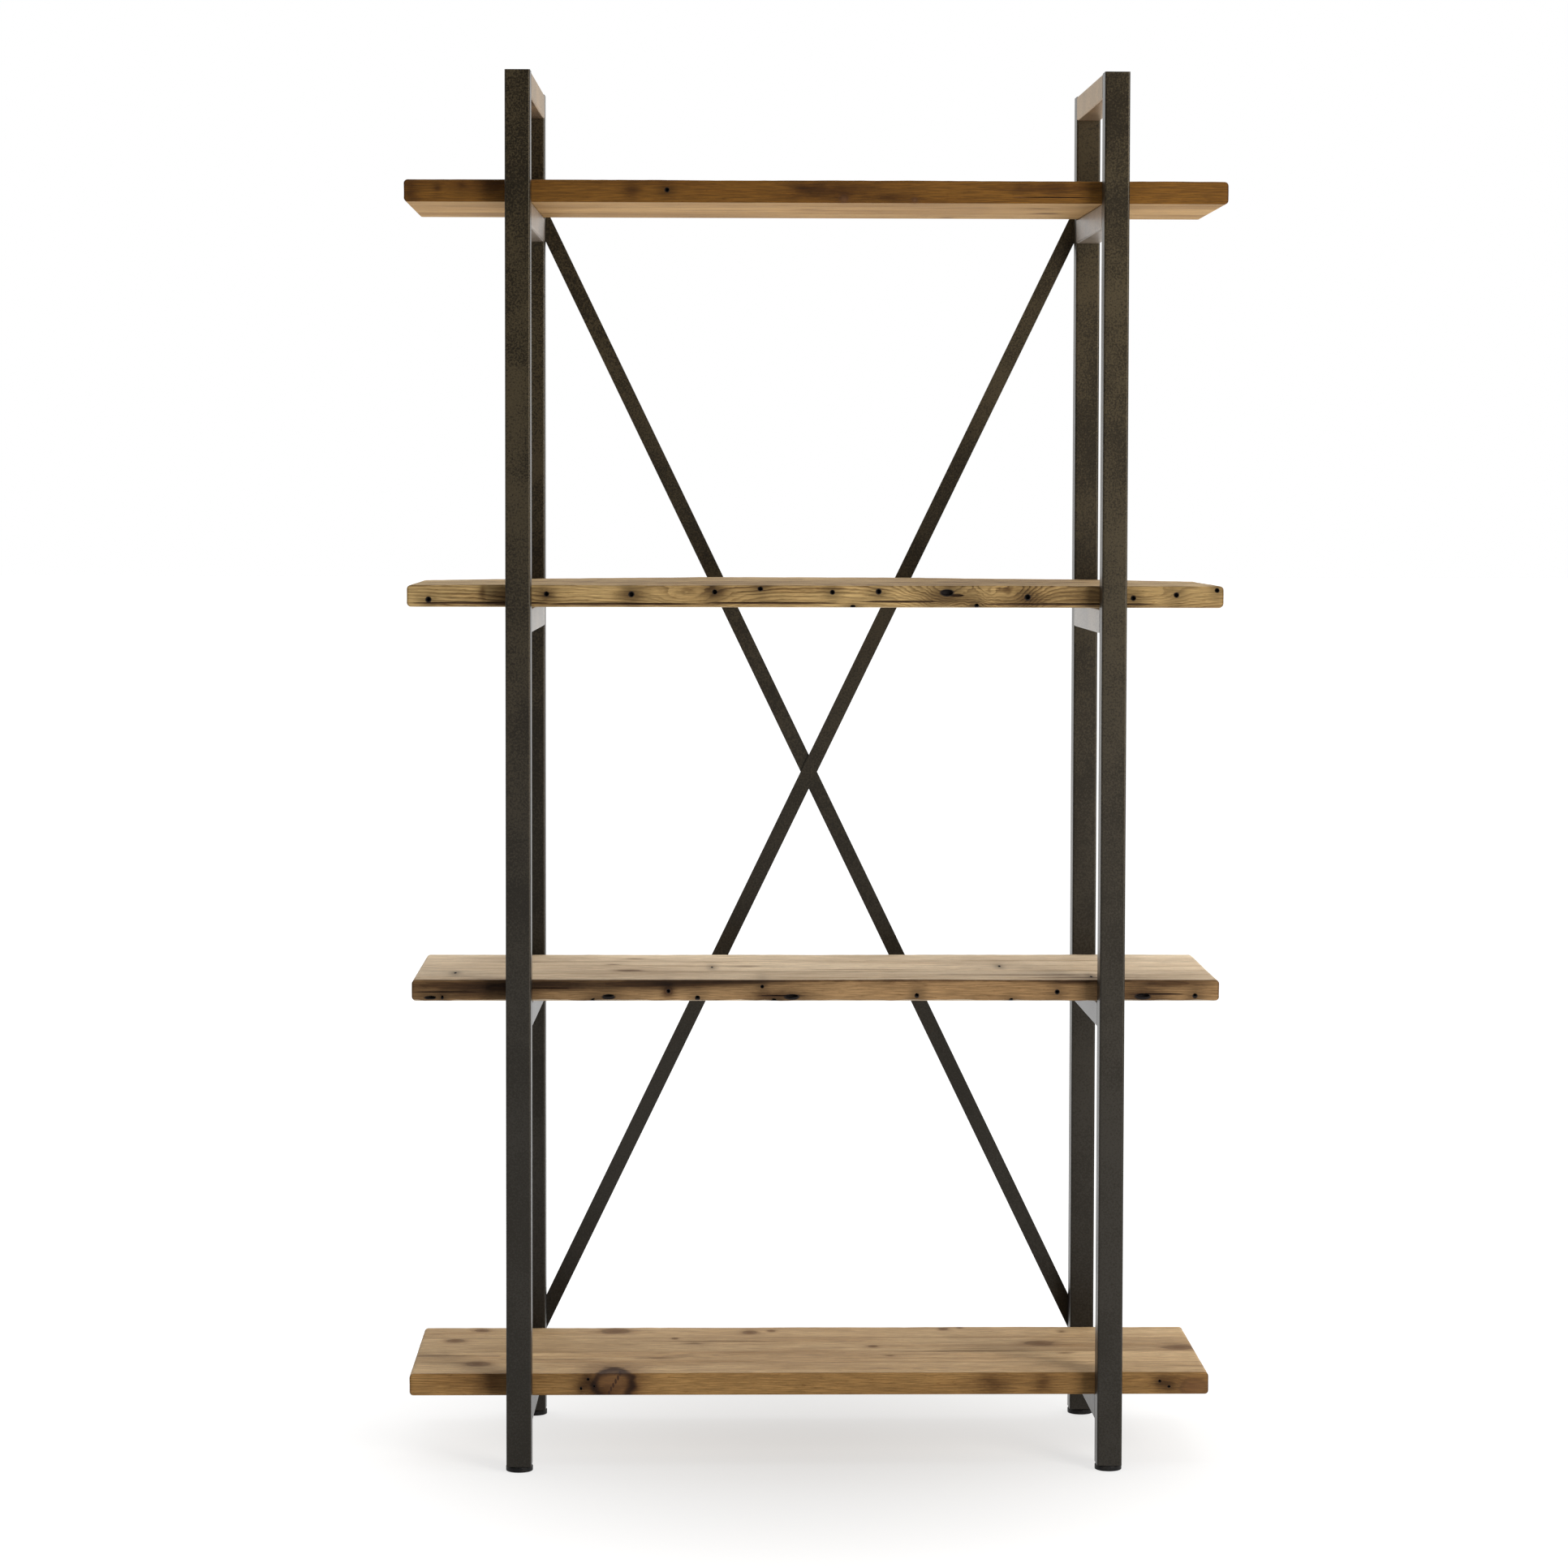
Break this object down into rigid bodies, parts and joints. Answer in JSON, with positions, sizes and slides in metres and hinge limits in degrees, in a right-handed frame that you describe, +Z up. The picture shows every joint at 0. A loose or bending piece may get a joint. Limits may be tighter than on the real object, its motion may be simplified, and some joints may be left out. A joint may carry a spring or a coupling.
{
  "type": "open bookcase",
  "caption": "Open bookcase: loose wooden plank shelves lying on the rungs of welded steel-tube side frames, with a crossed flat-bar brace behind and screw-adjusted feet.",
  "frame": {"origin": "on the floor under the middle of the bounding box", "axes": "+X to the right along the shelves, +Y to the back, +Z up"},
  "size_m": [1.046, 0.378, 1.782],
  "materials": {
    "frame_steel": "satin clear-coated dark steel, faintly mottled",
    "brace_steel": "satin dark steel flat bar",
    "raw_steel": "mill finish, oiled",
    "zinc_steel": "zinc plated",
    "black_plastic": "moulded, fine grained",
    "wood_top": "aged softwood, matte wax, golden brown",
    "wood_upper": "aged softwood, matte wax, light",
    "wood_lower": "aged softwood, matte wax, light with dark bark-side patches",
    "wood_bottom": "aged softwood, matte wax, knotty"
  },
  "bodies": {
    "frame": {"brace_bar_rising_left": "brace_steel", "brace_bar_rising_right": "brace_steel", "brace_bolts": "zinc_steel", "brace_washers": "zinc_steel", "foot_tapped_plates": "raw_steel", "left_front_cap_plate": "frame_steel", "left_front_post": "frame_steel", "left_rear_cap_plate": "frame_steel", "left_rear_post": "frame_steel", "left_rung_bottom": "frame_steel", "left_rung_lower": "frame_steel", "left_rung_top": "frame_steel", "left_rung_upper": "frame_steel", "left_top_rail": "frame_steel", "right_front_cap_plate": "frame_steel", "right_front_post": "frame_steel", "right_rear_cap_plate": "frame_steel", "right_rear_post": "frame_steel", "right_rung_bottom": "frame_steel", "right_rung_lower": "frame_steel", "right_rung_top": "frame_steel", "right_rung_upper": "frame_steel", "right_top_rail": "frame_steel", "rivet_nuts": "zinc_steel"},
    "bottom_plank": {"plank_bottom_board_1": "wood_bottom", "plank_bottom_board_2": "wood_bottom", "plank_bottom_board_3": "wood_bottom", "plank_bottom_board_4": "wood_bottom"},
    "lower_plank": {"plank_lower_board_1": "wood_lower", "plank_lower_board_2": "wood_lower", "plank_lower_board_3": "wood_lower"},
    "upper_plank": {"plank_upper_board_1": "wood_upper", "plank_upper_board_2": "wood_upper", "plank_upper_board_3": "wood_upper"},
    "top_plank": {"plank_top_board_1": "wood_top", "plank_top_board_2": "wood_top", "plank_top_board_3": "wood_top"},
    "left_front_pad": {"left_front_foot_pad": "black_plastic"},
    "left_front_stud": {"left_front_foot_stud": "zinc_steel"},
    "left_rear_pad": {"left_rear_foot_pad": "black_plastic"},
    "left_rear_stud": {"left_rear_foot_stud": "zinc_steel"},
    "right_front_pad": {"right_front_foot_pad": "black_plastic"},
    "right_front_stud": {"right_front_foot_stud": "zinc_steel"},
    "right_rear_pad": {"right_rear_foot_pad": "black_plastic"},
    "right_rear_stud": {"right_rear_foot_stud": "zinc_steel"}
  },
  "joints": [
    {"name": "bottom_plank_slide", "type": "slide", "parent": "frame", "child": "bottom_plank", "axis": [1, 0, 0], "range_m": [-0.1, 0.1]},
    {"name": "lower_plank_slide", "type": "slide", "parent": "frame", "child": "lower_plank", "axis": [1, 0, 0], "range_m": [-0.1, 0.1]},
    {"name": "upper_plank_slide", "type": "slide", "parent": "frame", "child": "upper_plank", "axis": [1, 0, 0], "range_m": [-0.1, 0.1]},
    {"name": "top_plank_slide", "type": "slide", "parent": "frame", "child": "top_plank", "axis": [1, 0, 0], "range_m": [-0.1, 0.1]},
    {"name": "left_front_foot_rise", "type": "slide", "parent": "frame", "child": "left_front_pad", "axis": [0, 0, -1], "range_m": [0, 0.02]},
    {"name": "left_front_stud_turn", "type": "hinge", "parent": "left_front_pad", "child": "left_front_stud", "pos_m": [-0.37772, -0.17173, 0.02], "axis": [0, 0, -1], "range_deg": [0, 5760]},
    {"name": "left_rear_foot_rise", "type": "slide", "parent": "frame", "child": "left_rear_pad", "axis": [0, 0, -1], "range_m": [0, 0.02]},
    {"name": "left_rear_stud_turn", "type": "hinge", "parent": "left_rear_pad", "child": "left_rear_stud", "pos_m": [-0.37186, 0.16422, 0.02], "axis": [0, 0, -1], "range_deg": [0, 5760]},
    {"name": "right_front_foot_rise", "type": "slide", "parent": "frame", "child": "right_front_pad", "axis": [0, 0, -1], "range_m": [0, 0.02]},
    {"name": "right_front_stud_turn", "type": "hinge", "parent": "right_front_pad", "child": "right_front_stud", "pos_m": [0.37772, -0.17173, 0.02], "axis": [0, 0, -1], "range_deg": [0, 5760]},
    {"name": "right_rear_foot_rise", "type": "slide", "parent": "frame", "child": "right_rear_pad", "axis": [0, 0, -1], "range_m": [0, 0.02]},
    {"name": "right_rear_stud_turn", "type": "hinge", "parent": "right_rear_pad", "child": "right_rear_stud", "pos_m": [0.37186, 0.16422, 0.02], "axis": [0, 0, -1], "range_deg": [0, 5760]}
  ],
  "couplings": [
    {"joint": "left_front_stud_turn", "follows": "left_front_foot_rise", "rad_per_m": 5026.5},
    {"joint": "left_rear_stud_turn", "follows": "left_rear_foot_rise", "rad_per_m": 5026.5},
    {"joint": "right_front_stud_turn", "follows": "right_front_foot_rise", "rad_per_m": 5026.5},
    {"joint": "right_rear_stud_turn", "follows": "right_rear_foot_rise", "rad_per_m": 5026.5}
  ]
}
